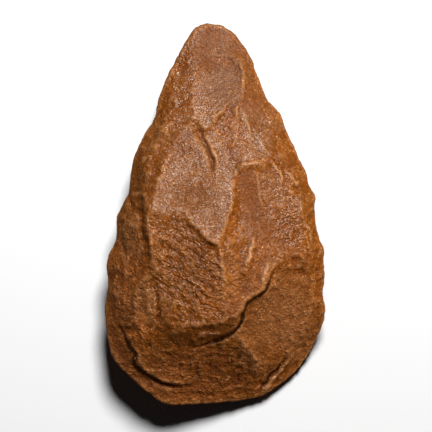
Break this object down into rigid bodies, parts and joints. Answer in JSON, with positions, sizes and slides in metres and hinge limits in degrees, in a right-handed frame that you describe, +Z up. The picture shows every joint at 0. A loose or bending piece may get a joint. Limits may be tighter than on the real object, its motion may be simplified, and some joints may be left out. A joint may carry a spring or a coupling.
{
  "type": "stone hand axe",
  "caption": "Pear-shaped knapped stone hand axe with a thick rounded butt and a blunt tip, lying on its flatter face.",
  "frame": {"origin": "on the ground under the middle of the stone's box, as it lies on its flatter face", "axes": "+Y towards the tip, +X across the width, to the right with the tip away from the viewer, +Z up through the thickness"},
  "size_m": [0.0858, 0.15, 0.04],
  "materials": {
    "quartzite": "warm brown sugary grain with a soft worn sheen on the higher facets"
  },
  "bodies": {
    "root": {"hand_axe": "quartzite"}
  },
  "joints": []
}
